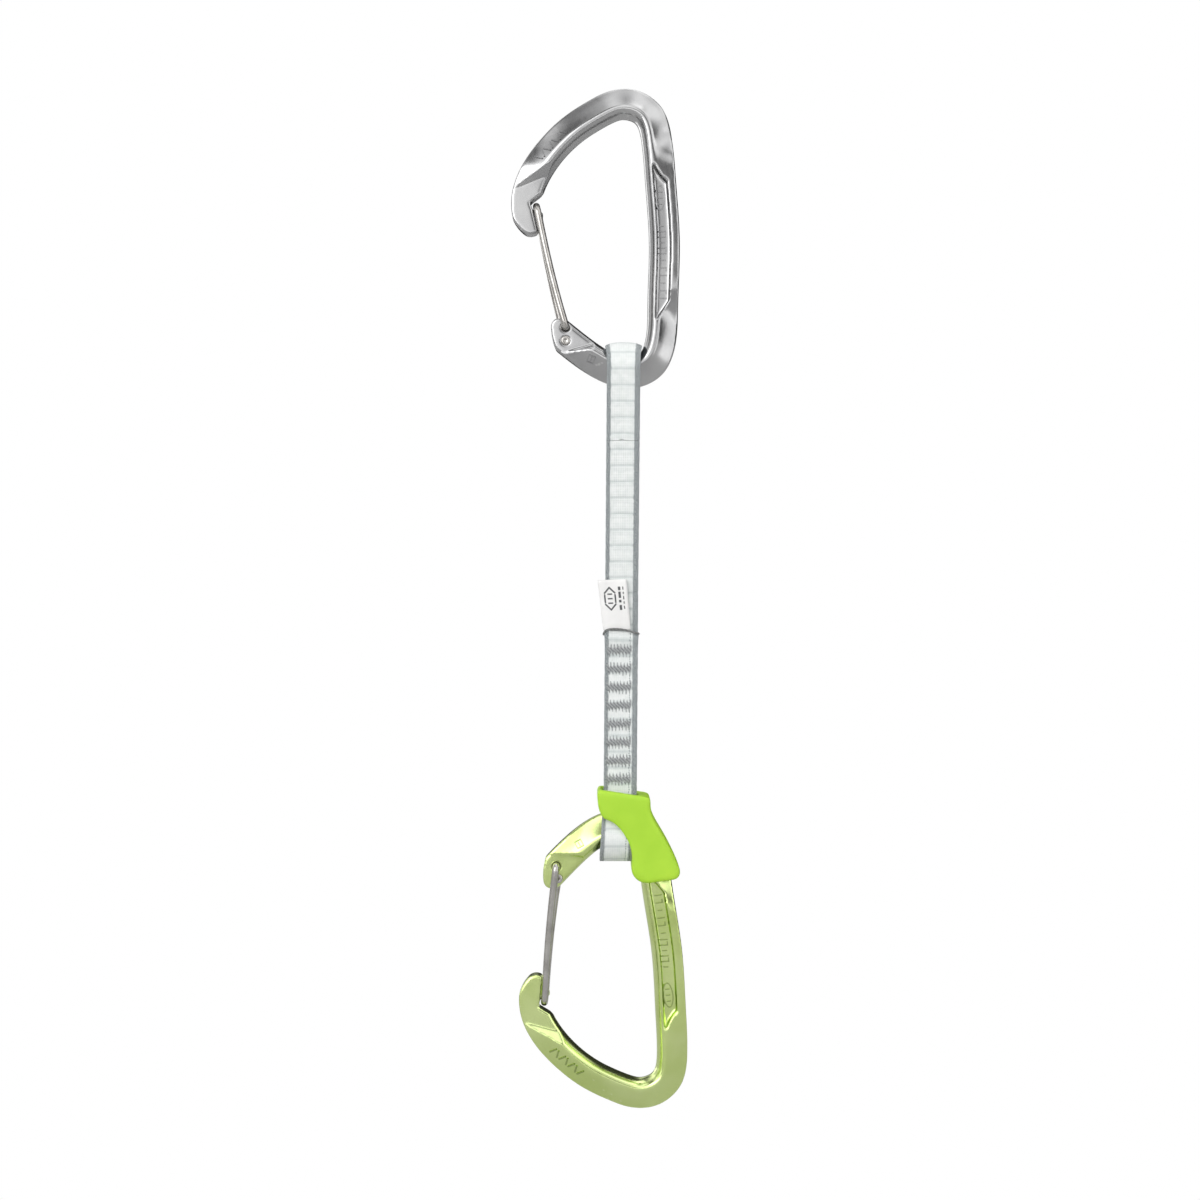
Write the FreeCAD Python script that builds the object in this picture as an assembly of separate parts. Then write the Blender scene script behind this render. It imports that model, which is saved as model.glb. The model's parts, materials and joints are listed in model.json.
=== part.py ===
"""Climbing quickdraw: two wire-gate carabiners joined by a sewn webbing sling.

Frame: millimetres, +Z up, origin at the highest inner point of the upper
carabiner's window, where it hangs from a bolt hanger.  X runs across the
carabiners towards their spines and Y through their thickness.
"""
import math
import os

import FreeCAD, Part
from FreeCAD import Vector

# ---------------------------------------------------------------- sizes
# carabiner body
body_length = 100.0          # the outline below is drawn for this length
drawn_length = 100.0
bar_depth = 10.2             # bar size in the plane of the ring
flange_half = 4.9            # half thickness of the inner, load-bearing flange
rim_half = 0.9               # half thickness of the thin outer rim
spine_rim_half = 4.3         # the rim is full height along the spine
crest_depth = 3.7            # from the inner face to the crest of the flange
round_depth = 0.62 * crest_depth     # the inner face is round to this depth
web_half = 1.9               # half thickness left in the spine's two pockets
# nose and hinge ends
nose_half = 3.3              # half thickness between the ground faces
tongue_half = 1.4            # the hook that passes between the gate's legs
hinge_half = 3.4
# gate
wire_radius = 1.2
hole_spacing = 4.4           # between the two offset holes of the wire's ends
hole_play = 0.05
closed_end_radius = 3.3      # middle of the wire where it turns round the hook
rivet_height = 0.25          # the riveted wire ends stand this proud of the body
gate_clearance = 0.3
# sling
tape_width = 11.0
tape_thickness = 2.2
loop_play = 0.5              # upper loop clear of the bar all round
sling_length = 139.4         # from the upper bar to the flex above the keeper
sewn_length = 65.4           # from where the two layers meet to that flex
neck_length = 15.5           # from the flex to the middle of the lower loop
neck_shift = -0.9
lower_play = 0.1             # the lower loop lies this close to the bar's corners
edge_margin = 0.3            # the bar is looked at this far beyond the tape's edges
hold_across = 2.5            # the lower loop's place along the bar
sling_lean = math.radians(0.45)
lower_lean = math.radians(7.3)
layer_gap = 0.1              # between the two layers in the sewn part
rock_drop = 10.4             # webbing bends sideways this far below the upper bar
rock_gap = 1.7
twist_drop = 40.0
twist_gap = 0.4
flex_gap = 2.2
# sewing, label and keeper
lap_length = 52.0            # the sewn-down tape end reaches this far above the flex
lap_margin = 1.6             # and stops this far short of it
tack_count = 8
tack_pitch = 6.1
last_tack = 3.3              # lowest bar tack above the flex
tack_height = 3.2
tack_width = 9.4
tack_rise = 0.35
label_width = 9.4
label_height = 16.5
label_thickness = 0.9
label_shift = -2.4
label_gap = 0.5              # the label hangs free of the webbing behind it
seam_height = 0.8
keeper_wall = 0.9            # rubber over the webbing
keeper_play = 0.2            # beside the webbing
keeper_mouth = 5.0           # half opening of the keeper's collar

upper_loop_length = sling_length - sewn_length

outline_scale = body_length / drawn_length


# ---------------------------------------------------------------- helpers
def spot(x, z, y=0.0):
    """A point of the ring's outline, scaled with the body."""
    return Vector(x * outline_scale, y, z * outline_scale)


def shifted(point, dx, dz, y=0.0):
    return Vector(point.x + dx, y, point.z + dz)


def line(a, b):
    return Part.makeLine(a, b)


def arc(a, middle, b):
    return Part.Arc(a, middle, b).toShape()


def spline(points):
    curve = Part.BSplineCurve()
    curve.interpolate(points)
    return curve.toShape()


def slab(edges, low, high):
    """Closed outline in the XZ plane, given thickness from y = low to y = high."""
    face = Part.Face(Part.Wire(edges))
    face.translate(Vector(0, low, 0))
    return face.extrude(Vector(0, high - low, 0))


def polygon(points):
    closed = list(points) + [points[0]]
    return [line(a, b) for a, b in zip(closed, closed[1:])]


def ramp(value, start, end):
    """0 before start, 1 after end, smooth in between."""
    t = min(1.0, max(0.0, (value - start) / (end - start)))
    return t * t * (3.0 - 2.0 * t)


def between(a, b, share):
    return a + (b - a) * share


# ---------------------------------------------------------------- carabiner body
# The middle of the bar from beyond the nose, over the wide top end, down the
# spine and along the narrow end to beyond the gate hinge.
centre_points = [
    spot(-27.0, -43.0), spot(-30.2, -36.0), spot(-31.8, -28.5), spot(-29.2, -19.2),
    spot(-23.2, -10.1), spot(-16.0, -3.2), spot(-8.2, 1.8), spot(0.2, 4.9),
    spot(8.2, 1.9), spot(11.6, -7.5), spot(12.8, -21.0), spot(14.1, -42.0),
    spot(13.6, -62.0), spot(12.6, -75.5), spot(9.2, -82.2), spot(2.0, -84.6),
    spot(-5.6, -82.4), spot(-12.0, -78.4), spot(-18.6, -73.3), spot(-26.0, -67.5),
]
centre_line = spline(centre_points)
line_length = centre_line.Length

nose_end = 0.145 * line_length      # ground nose faces end here
spine_start = 0.425 * line_length
spine_end = 0.70 * line_length
hinge_start = 0.895 * line_length

gate_top = spot(-28.5, -29.2)       # middle of the gate's closed end
near_hole = spot(-18.7, -69.8)
far_hole = shifted(near_hole, 0.0, -hole_spacing)
pivot = (near_hole + far_hole) * 0.5
bar_axis = spot(0.5, -83.6)         # the upper webbing turns about the bar here


def rim_at(run):
    """Half thickness of the outer rim along the bar."""
    height = rim_half
    height = between(height, nose_half, 1.0 - ramp(run, nose_end - 6.0, nose_end + 8.0))
    spine = ramp(run, spine_start - 4.0, spine_start + 7.0)
    spine *= 1.0 - ramp(run, spine_end - 9.0, spine_end + 5.0)
    height = between(height, spine_rim_half, spine)
    return between(height, hinge_half, ramp(run, hinge_start - 8.0, hinge_start + 6.0))


def frame_at(run):
    """Point on the middle line and the direction from inside to outside."""
    parameter = centre_line.getParameterByLength(run)
    point = centre_line.valueAt(parameter)
    along = centre_line.tangentAt(parameter)
    outward = Vector(-along.z, 0, along.x)
    return point, outward


def section_at(run):
    """Keel-shaped section: round inner face, crest, hollowed slope, thin rim."""
    middle, outward = frame_at(run)
    inner = middle - outward * (bar_depth / 2)
    rim = rim_at(run)

    def at(depth, y):
        point = inner + outward * depth
        return Vector(point.x, y, point.z)

    slope_middle = between(crest_depth, bar_depth, 0.5)
    slope_height = between(flange_half, rim, 0.56)
    return Part.Wire([
        arc(at(round_depth, -flange_half), at(0, 0), at(round_depth, flange_half)),
        line(at(round_depth, flange_half), at(crest_depth, flange_half)),
        arc(at(crest_depth, flange_half), at(slope_middle, slope_height), at(bar_depth, rim)),
        line(at(bar_depth, rim), at(bar_depth, -rim)),
        arc(at(bar_depth, -rim), at(slope_middle, -slope_height), at(crest_depth, -flange_half)),
        line(at(crest_depth, -flange_half), at(round_depth, -flange_half)),
    ])


def make_bar():
    station_count = 44
    step = (line_length - 0.001) / (station_count - 1)
    return Part.makeLoft([section_at(i * step) for i in range(station_count)], True, False)


def bar_points():
    """Points round the bar's section, all along the narrow end."""
    fine_count = 60
    found = []
    for i in range(fine_count):
        middle, outward = frame_at(between(0.62, 0.93, i / (fine_count - 1)) * line_length)
        inner = middle - outward * (bar_depth / 2)
        corners = ((0.0, 0.0), (round_depth, flange_half), (crest_depth, flange_half), (bar_depth, rim_half))
        for depth, half in corners:
            found.append(inner + outward * depth + Vector(0, half, 0))
    return found


def bar_reach(axis):
    """How far the bar under the webbing reaches from an axis along X."""
    under = [point for point in bar_points() if abs(point.x - axis.x) < tape_width / 2]
    return max(math.hypot(point.z - axis.z, point.y) for point in under)


def pocket(y_low, y_high):
    """Long recess in the spine, its inner side longer, so both ends run out to a point."""
    inner_depth = 2.7
    outer_depth = 7.2
    outer_first = spine_start + 12.5
    outer_last = spine_end - 3.5
    inner_first = spine_start + 4.6
    inner_last = spine_end + 3.8

    def at(run, depth):
        middle, outward = frame_at(run)
        return middle + outward * (depth - bar_depth / 2)

    def side(depth, first, last, count=7):
        return [at(between(first, last, i / (count - 1)), depth) for i in range(count)]

    outer = side(outer_depth, outer_first, outer_last)
    inner = side(inner_depth, inner_last, inner_first)
    low_point = at(between(outer_last, inner_last, 0.4), 5.4)
    high_point = at(between(inner_first, outer_first, 0.55), 4.4)
    edges = [
        spline(outer),
        arc(outer[-1], low_point, inner[0]),
        spline(inner),
        arc(inner[-1], high_point, outer[0]),
    ]
    return slab(edges, y_low, y_high)


def ground_face(first, second, beyond, half, rise_run):
    """Two wedges that grind the bar down to 2*half past the line first-second."""
    along = second - first
    along.normalize()
    away = Vector(-along.z, 0, along.x)
    if away.dot(beyond - first) < 0:
        away = away * -1.0
    reach = 24.0
    margin = 4.0
    high = 9.0
    slope = rise_run / (flange_half - half)
    width = (second - first).Length + 2 * margin
    start = first - along * margin
    profile = [
        start + Vector(0, half, 0),
        start + away * reach + Vector(0, half, 0),
        start + away * reach + Vector(0, high, 0),
        start - away * ((high - half) * slope) + Vector(0, high, 0),
    ]
    tool = Part.Face(Part.Wire(polygon(profile))).extrude(along * width)
    other = tool.mirror(Vector(0, 0, 0), Vector(0, 1, 0))
    return tool, other


def make_body():
    body = make_bar()

    # nose: round tip
    outer_top = shifted(gate_top, -8.6, -1.5)
    outer_side = shifted(gate_top, -6.6, -6.4)
    tip_left = shifted(gate_top, -3.6, -9.4)
    tip_low = shifted(gate_top, -1.2, -9.7)
    tip_right = shifted(gate_top, 1.4, -7.8)
    low_left = shifted(gate_top, -14.0, -1.5)
    low_far = shifted(gate_top, -14.0, -22.0)
    low_right = shifted(gate_top, 9.0, -22.0)
    low_in = shifted(gate_top, 9.0, -7.8)
    body = body.cut(slab([
        arc(outer_top, outer_side, tip_left),
        arc(tip_left, tip_low, tip_right),
        line(tip_right, low_in),
        line(low_in, low_right),
        line(low_right, low_far),
        line(low_far, low_left),
        line(low_left, outer_top),
    ], -20, 20))

    # nose: notch for the gate's closed end, with the hook's point below it
    reach = wire_radius + gate_clearance
    shoulder = shifted(gate_top, 3.3, 5.0)
    notch = shifted(gate_top, -reach - 0.5, 0.9)
    floor = shifted(gate_top, 0.0, -reach - 0.5)
    floor_left = shifted(gate_top, -reach, -0.5)
    beak = shifted(gate_top, 2.3, -reach - 0.5)
    beak_low = shifted(gate_top, 2.1, -4.6)
    body = body.cut(slab([
        line(shoulder, notch),
        line(notch, floor_left),
        arc(floor_left, shifted(gate_top, -reach * 0.72, -reach * 0.76), floor),
        line(floor, beak),
        line(beak, beak_low),
        line(beak_low, tip_right),
        line(tip_right, low_in),
        line(low_in, shifted(gate_top, 9.0, 5.0)),
        line(shifted(gate_top, 9.0, 5.0), shoulder),
    ], -20, 20))

    # nose: the legs of the gate lie in a step on each side of the hook
    down = near_hole - gate_top
    down.normalize()
    left = Vector(down.z, 0, -down.x)
    step_top = gate_top + left * reach
    step_low = step_top + down * 12.0
    for side in (-1, 1):
        edges = polygon([
            notch, step_top, step_low,
            step_low - left * 9.0, shifted(gate_top, 9.0, 0.9),
        ])
        low, high = sorted((side * tongue_half, side * 20.0))
        body = body.cut(slab(edges, low, high))

    # ground faces of the nose and of the hinge end
    for tool in ground_face(spot(-35.6, -23.8), spot(-26.8, -20.2), gate_top, nose_half, 3.4):
        body = body.cut(tool)
    for tool in ground_face(spot(-18.0, -77.6), spot(-9.6, -75.3), near_hole, hinge_half, 1.5):
        body = body.cut(tool)

    # hinge end: blunt rounded outline about the two holes
    heel = shifted(near_hole, 0.6, -12.6)
    heel_side = shifted(near_hole, -3.9, -5.6)
    side = shifted(near_hole, -4.9, 0.0)
    corner = shifted(near_hole, -3.9, 2.5)
    top_left = shifted(near_hole, -2.4, 3.1)
    top_right = shifted(near_hole, 1.6, 3.0)
    body = body.cut(slab([
        arc(heel, heel_side, side),
        arc(side, corner, top_left),
        line(top_left, top_right),
        line(top_right, shifted(near_hole, 1.6, 12.0)),
        line(shifted(near_hole, 1.6, 12.0), shifted(near_hole, -20.0, 12.0)),
        line(shifted(near_hole, -20.0, 12.0), shifted(near_hole, -20.0, -12.6)),
        line(shifted(near_hole, -20.0, -12.6), heel),
    ], -20, 20))
    for hole in (near_hole, far_hole):
        start = Vector(hole.x, -20, hole.z)
        body = body.cut(Part.makeCylinder(wire_radius + hole_play, 40, start, Vector(0, 1, 0)))

    # pockets that leave an I section in the spine
    body = body.cut(pocket(web_half, 20))
    body = body.cut(pocket(-20, -web_half))
    return body.removeSplitter()


# ---------------------------------------------------------------- wire gate
leg_offset = hinge_half + rivet_height + gate_clearance + wire_radius


def rod(a, b):
    along = b - a
    return Part.makeCylinder(wire_radius, along.Length, a, along)


def ball(point):
    return Part.makeSphere(wire_radius, point)


def make_gate():
    """Wire loop: up one leg, round the closed end, down the other leg."""
    face = hinge_half + 0.1
    up = gate_top - near_hole
    up.normalize()
    turn_centre = gate_top - up * closed_end_radius
    pieces = []
    for hole, side in ((near_hole, -1), (far_hole, 1)):
        foot = Vector(hole.x, side * face, hole.z)
        elbow = Vector(hole.x, side * leg_offset, hole.z)
        top = Vector(turn_centre.x, side * closed_end_radius, turn_centre.z)
        pieces += [rod(foot, elbow), ball(elbow), rod(elbow, top), ball(top)]
    ring = Part.makeTorus(closed_end_radius, wire_radius, turn_centre, Vector(-up.z, 0, up.x))
    half_space = Part.makeBox(30, 30, 15, Vector(-15, -15, 0))
    tilt = math.degrees(math.atan2(up.x, up.z))
    half_space.rotate(Vector(0, 0, 0), Vector(0, 1, 0), tilt)
    half_space.translate(turn_centre)
    pieces.append(ring.common(half_space))
    return pieces[0].multiFuse(pieces[1:]).removeSplitter()


def make_wire_ends():
    """The two ends of the wire that are turned into the body and riveted over."""
    ends = []
    for hole, proud in ((near_hole, 1), (far_hole, -1)):
        length = 2 * hinge_half + rivet_height
        start = Vector(hole.x, -hinge_half if proud > 0 else hinge_half, hole.z)
        ends.append(Part.makeCylinder(wire_radius, length, start, Vector(0, proud, 0)))
    return Part.makeCompound(ends)


# ---------------------------------------------------------------- placing in the sling
sling_down = Vector(-math.sin(sling_lean), 0, -math.cos(sling_lean))
flex_pivot = bar_axis + sling_down * sling_length
lower_hold = flex_pivot + Vector(neck_shift, 0, -neck_length)


def in_sling(shape):
    """From the sling's own frame (origin at the upper bar, hanging down) to the part's."""
    placed = shape.copy()
    placed.rotate(Vector(0, 0, 0), Vector(0, 1, 0), math.degrees(sling_lean))
    placed.translate(bar_axis)
    return placed


def turned_over(shape):
    """A carabiner upside down, leaning the way it hangs in the sling."""
    turned = shape.copy()
    turned.rotate(Vector(0, 0, 0), Vector(1, 0, 0), 180)
    turned.rotate(Vector(0, 0, 0), Vector(0, 1, 0), -math.degrees(lower_lean))
    return turned


def loop_round_bar():
    """Middle and radius of the lower loop, in the turned-over carabiner: it just clears the bar."""
    across = turned_over(Part.Vertex(shifted(bar_axis, hold_across, 0.0))).Point.x
    near = [turned_over(Part.Vertex(point)).Point for point in bar_points()]
    near = [point for point in near if abs(point.x - across) < tape_width / 2 + edge_margin]
    flange = [point.z for point in near if abs(point.y) > flange_half - 0.01]
    inner = [point.z for point in near if abs(point.y) < 0.01]
    middle = (max(flange) + min(flange)) / 2
    reach = math.hypot(max(flange) - middle, flange_half)
    return Vector(across, 0, middle), max(reach, middle - min(inner)) + lower_play


held_point, lower_radius = loop_round_bar()


def to_lower(shape):
    placed = turned_over(shape)
    placed.translate(lower_hold - held_point)
    return placed


# ---------------------------------------------------------------- webbing
def drop_outline(radius, half, length):
    """Side view of a loop: round a circle at the origin and down to a neck, filled."""
    reach = math.hypot(half, length)
    turn = math.atan2(-length, half) + math.acos(radius / reach)
    right = Vector(0, radius * math.cos(turn), radius * math.sin(turn))
    left = Vector(0, -right.y, right.z)
    top = Vector(0, 0, radius)
    end_right = Vector(0, half, -length)
    end_left = Vector(0, -half, -length)
    return Part.Face(Part.Wire([
        arc(right, top, left), line(left, end_left), line(end_left, end_right), line(end_right, right),
    ]))


def tape_loop(radius, length):
    """Webbing round a bar, its two layers coming together at the given length."""
    outer = drop_outline(radius + tape_thickness, layer_gap / 2 + tape_thickness, length)
    inner = drop_outline(radius, layer_gap / 2, length)
    ring = outer.cut(inner)
    ring.translate(Vector(-tape_width / 2, 0, 0))
    return ring.extrude(Vector(tape_width, 0, 0))


def level_band(low, high):
    """Box that keeps what lies between two heights of the sling's frame."""
    return Part.makeBox(80, 80, high - low, Vector(-40, -40, low))


sewn_half = layer_gap / 2 + tape_thickness
lap_top = lap_length - sling_length
upper_radius = bar_reach(bar_axis) + loop_play


def block(width, y_low, y_high, low, high, x_middle=0.0):
    return Part.makeBox(width, y_high - y_low, high - low, Vector(x_middle - width / 2, y_low, low))


def make_sling():
    """The tape above the lower flex, by the name of each stretch."""
    loop = tape_loop(upper_radius, upper_loop_length)
    rock_top = -rock_drop + rock_gap / 2
    rock_low = -rock_drop - rock_gap / 2
    twist_top = -twist_drop + twist_gap / 2
    twist_low = -twist_drop - twist_gap / 2
    flex_top = -sling_length + flex_gap / 2
    sewn = block(tape_width, -sewn_half, sewn_half, flex_top, -upper_loop_length)
    lower_legs = loop.common(level_band(-upper_loop_length, twist_low))
    stretches = {
        "webbing_upper_bight": loop.common(level_band(rock_top, 40)),
        "webbing_upper_legs": loop.common(level_band(twist_top, rock_low)),
        "webbing_sewn_part": lower_legs.fuse(sewn).removeSplitter(),
    }
    lap_front = -sewn_half - tape_thickness
    lap_low = flex_top + lap_margin
    stretches["webbing_end_lap"] = block(tape_width, lap_front, -sewn_half, lap_low, lap_top)
    return stretches


def make_tack(index):
    """One bar tack: thread showing on the front and on the back of the sewn part."""
    middle = last_tack - sling_length + index * tack_pitch
    low = middle - tack_height / 2
    high = middle + tack_height / 2
    front = -sewn_half - tape_thickness
    return Part.makeCompound([
        block(tack_width, front - tack_rise, front, low, high),
        block(tack_width, sewn_half, sewn_half + tack_rise, low, high),
    ])


def make_label():
    """Folded label lying on the front of the tape, its foot caught by the tape end."""
    back = -sewn_half - label_gap
    low = lap_top + seam_height
    return block(label_width, back - label_thickness, back, low, low + label_height, label_shift)


def make_label_seam():
    front = -sewn_half - tape_thickness
    return block(tape_width, front, -sewn_half, lap_top, lap_top + seam_height)


def make_lower_loop():
    """The short lower loop, tight round the bar of the lower carabiner."""
    loop = tape_loop(lower_radius, neck_length - flex_gap / 2)
    loop.rotate(Vector(0, 0, 0), Vector(1, 0, 0), 180)
    lean = math.degrees(math.atan2(-neck_shift, neck_length))
    loop.rotate(Vector(0, 0, 0), Vector(0, 1, 0), lean)
    loop.translate(lower_hold)
    return loop


# ---------------------------------------------------------------- rubber keeper
keeper_half = lower_radius + tape_thickness + keeper_wall


def make_keeper(lower_body):
    """Moulded rubber that grips the webbing and the corner beside it."""
    def at(dx, dz):
        return shifted(lower_hold, dx, dz)

    edges = [
        line(at(-6.2, 15.8), at(10, 13.4)),
        arc(at(10, 13.4), at(10.7, 12.9), at(10.9, 12)),
        spline([at(10.9, 12), at(11.6, 7), at(14.6, 1.5), at(18.4, -5.6), at(20.3, -10)]),
        arc(at(20.3, -10), at(20.3, -12.9), at(18, -14.1)),
        line(at(18, -14.1), at(10.6, -15.1)),
        arc(at(10.6, -15.1), at(6.2, -13.9), at(4.4, -10)),
        spline([at(4.4, -10), at(3.9, -3.3), at(2.4, -0.2), at(-0.8, 4.1), at(-4.6, 5.9)]),
        arc(at(-4.6, 5.9), at(-6, 8.6), at(-6.6, 13)),
        arc(at(-6.6, 13), at(-6.7, 15), at(-6.2, 15.8)),
    ]
    keeper = slab(edges, -keeper_half, keeper_half)
    channel_width = tape_width + 2 * keeper_play
    channel = drop_outline(lower_radius + tape_thickness, keeper_mouth, neck_length * 1.5)
    channel.translate(Vector(-channel_width / 2, 0, 0))
    channel = channel.extrude(Vector(channel_width, 0, 0))
    channel.rotate(Vector(0, 0, 0), Vector(1, 0, 0), 180)
    lean = math.degrees(math.atan2(-neck_shift, neck_length))
    channel.rotate(Vector(0, 0, 0), Vector(0, 1, 0), lean)
    channel.translate(lower_hold)
    return keeper.cut(channel).cut(lower_body)


# ---------------------------------------------------------------- build
def save(name, shape):
    shape.exportStep(os.path.join("parts", name + ".step"))
    print(name, round(shape.Volume, 1), shape.isValid(), len(shape.Solids), shape.ShapeType)


os.makedirs("parts", exist_ok=True)
body = make_body()
gate = make_gate()
ends = make_wire_ends()
lower_body = to_lower(body)
save("upper_carabiner_body", body)
save("upper_gate_wire", gate)
save("upper_gate_wire_ends", ends)
save("lower_carabiner_body", lower_body)
save("lower_gate_wire", to_lower(gate))
save("lower_gate_wire_ends", to_lower(ends))
for name, stretch in make_sling().items():
    save(name, in_sling(stretch))
for index in range(tack_count):
    save("bar_tack_" + str(index + 1), in_sling(make_tack(index)))
save("label", in_sling(make_label()))
save("label_seam", in_sling(make_label_seam()))
save("webbing_lower_loop", make_lower_loop())
save("rubber_keeper", make_keeper(lower_body))
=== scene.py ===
"""Climbing quickdraw: two wire-gate carabiners joined by a sewn webbing sling.

Metres, in the CAD frame.  The CAD gives every place and joint; the pieces here
give the looks of forged aluminium, spring wire, woven tape, thread and rubber.
"""
import json
import math
import random

import bmesh
import bpy
from mathutils import Matrix, Vector
from mathutils.bvhtree import BVHTree


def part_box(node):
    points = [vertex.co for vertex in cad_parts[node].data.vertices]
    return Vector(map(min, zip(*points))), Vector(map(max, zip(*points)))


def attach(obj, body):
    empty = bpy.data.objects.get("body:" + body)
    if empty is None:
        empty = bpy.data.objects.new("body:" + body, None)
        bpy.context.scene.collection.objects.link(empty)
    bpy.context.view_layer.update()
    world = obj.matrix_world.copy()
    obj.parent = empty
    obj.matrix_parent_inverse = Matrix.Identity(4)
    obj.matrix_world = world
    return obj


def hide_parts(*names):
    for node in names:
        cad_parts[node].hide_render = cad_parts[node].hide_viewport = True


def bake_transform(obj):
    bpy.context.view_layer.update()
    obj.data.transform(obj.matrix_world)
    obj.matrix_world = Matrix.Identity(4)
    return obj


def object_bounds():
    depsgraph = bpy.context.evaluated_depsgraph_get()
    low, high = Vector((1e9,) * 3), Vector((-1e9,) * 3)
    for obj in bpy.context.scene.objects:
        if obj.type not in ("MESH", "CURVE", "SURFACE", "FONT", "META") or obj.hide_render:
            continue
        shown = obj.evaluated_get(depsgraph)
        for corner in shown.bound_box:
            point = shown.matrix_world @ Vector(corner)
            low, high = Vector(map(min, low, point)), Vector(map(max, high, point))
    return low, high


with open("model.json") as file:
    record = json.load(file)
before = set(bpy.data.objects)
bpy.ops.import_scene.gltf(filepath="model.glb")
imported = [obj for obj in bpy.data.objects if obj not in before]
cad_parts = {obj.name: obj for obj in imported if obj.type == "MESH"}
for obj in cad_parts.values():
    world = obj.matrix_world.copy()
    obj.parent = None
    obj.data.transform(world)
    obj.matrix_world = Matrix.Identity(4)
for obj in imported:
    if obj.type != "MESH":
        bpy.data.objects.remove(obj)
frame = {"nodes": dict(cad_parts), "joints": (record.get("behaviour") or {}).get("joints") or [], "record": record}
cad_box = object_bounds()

# ---------------------------------------------------------------- carabiner bodies
# Each body is hot-forged 7075 aluminium with a keel section, tumbled until every
# edge is soft and then polished.  The upper one is left natural and the lower one
# is anodised light green.
MM = 0.001
joint_at = {joint["name"]: Vector(joint["pos_m"]) for joint in frame["joints"]}
mount_at = {mount["name"]: Vector(mount["pos_m"]) for mount in frame["record"]["mounts"]}
LOWER_LEAN = math.radians(7.3)
turned_over = (
    Matrix.Translation(mount_at["rope_basket"])
    @ Matrix.Rotation(-LOWER_LEAN, 4, "Y")
    @ Matrix.Rotation(math.pi, 4, "X")
)


def new_piece(name, mesh):
    """A piece with its place in its mesh, linked to the scene."""
    piece = bpy.data.objects.new(name, mesh)
    bpy.context.scene.collection.objects.link(piece)
    return piece


def settle(piece):
    """Makes the piece's modifiers part of its mesh."""
    bpy.context.view_layer.update()
    graph = bpy.context.evaluated_depsgraph_get()
    mesh = bpy.data.meshes.new_from_object(piece.evaluated_get(graph))
    piece.modifiers.clear()
    piece.data = mesh
    return piece


def softened_copy(node, name, grain, passes):
    """The CAD node's shape with all its edges rounded, as tumbling or moulding leaves them."""
    mesh = frame["nodes"][node].data.copy()
    work = bmesh.new()
    work.from_mesh(mesh)
    bmesh.ops.remove_doubles(work, verts=work.verts, dist=2e-6)
    work.to_mesh(mesh)
    work.free()
    piece = new_piece(name, mesh)
    even = piece.modifiers.new("even", "REMESH")
    even.mode = "VOXEL"
    even.voxel_size = grain
    even.use_smooth_shade = True
    settle(piece)
    work = bmesh.new()
    work.from_mesh(piece.data)
    for _ in range(passes):
        bmesh.ops.smooth_vert(
            work, verts=work.verts, factor=0.5, use_axis_x=True, use_axis_y=True, use_axis_z=True
        )
    bmesh.ops.recalc_face_normals(work, faces=work.faces)
    work.to_mesh(piece.data)
    work.free()
    piece.data.shade_smooth()
    piece.data.materials.clear()
    return piece


class Finish:
    """A node material under construction, with short calls for the nodes used here."""

    def __init__(self, name):
        self.material = bpy.data.materials.new(name)
        self.material.use_nodes = True
        self.tree = self.material.node_tree
        self.shader = self.tree.nodes["Principled BSDF"]

    def node(self, kind, values=None, **links):
        made = self.tree.nodes.new("ShaderNode" + kind)
        for key, value in (values or {}).items():
            if hasattr(made, key):
                setattr(made, key, value)
            else:
                made.inputs[key].default_value = value
        for key, source in links.items():
            self.join(source, made.inputs[key.replace("_", " ")])
        return made

    def join(self, source, target):
        self.tree.links.new(source, target)

    def place(self, scale=(1, 1, 1), turn=(0, 0, 0)):
        """Object coordinates, scaled and turned."""
        where = self.node("TexCoord").outputs["Object"]
        return self.node("Mapping", {"Scale": scale, "Rotation": turn}, Vector=where).outputs["Vector"]

    def noise(self, where, scale, detail=3.0, roughness=0.5):
        values = {"Scale": scale, "Detail": detail, "Roughness": roughness}
        return self.node("TexNoise", values, Vector=where).outputs["Fac"]

    def shades(self, factor, stops):
        """Colour ramp from (place, colour) stops."""
        ramp = self.node("ValToRGB", Fac=factor)
        while len(ramp.color_ramp.elements) < len(stops):
            ramp.color_ramp.elements.new(0.5)
        for element, (at, colour) in zip(ramp.color_ramp.elements, stops):
            element.position = at
            element.color = (*colour, 1.0) if hasattr(colour, "__len__") else (colour,) * 3 + (1.0,)
        return ramp.outputs["Color"]

    def math(self, operation, a, b=None, c=None):
        made = self.tree.nodes.new("ShaderNodeMath")
        made.operation = operation
        for socket, value in zip(made.inputs, (a, b, c)):
            if value is None:
                continue
            if isinstance(value, (int, float)):
                socket.default_value = value
            else:
                self.join(value, socket)
        return made.outputs["Value"]

    def blend(self, factor, a, b, kind="MIX"):
        made = self.tree.nodes.new("ShaderNodeMix")
        made.data_type = "RGBA"
        made.blend_type = kind
        sockets = [made.inputs[0], made.inputs[6], made.inputs[7]]
        for socket, value in zip(sockets, (factor, a, b)):
            if isinstance(value, (int, float)):
                socket.default_value = value
            elif isinstance(value, tuple):
                socket.default_value = (*value, 1.0)
            else:
                self.join(value, socket)
        return made.outputs[2]

    def bump(self, height, strength, distance, normal=None):
        made = self.node("Bump", {"Strength": strength, "Distance": distance}, Height=height)
        if normal is not None:
            self.join(normal, made.inputs["Normal"])
        return made.outputs["Normal"]

    def set(self, **values):
        for key, value in values.items():
            socket = self.shader.inputs[key.replace("_", " ")]
            if isinstance(value, (int, float, tuple)):
                socket.default_value = value
            else:
                self.join(value, socket)
        return self.material


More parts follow.
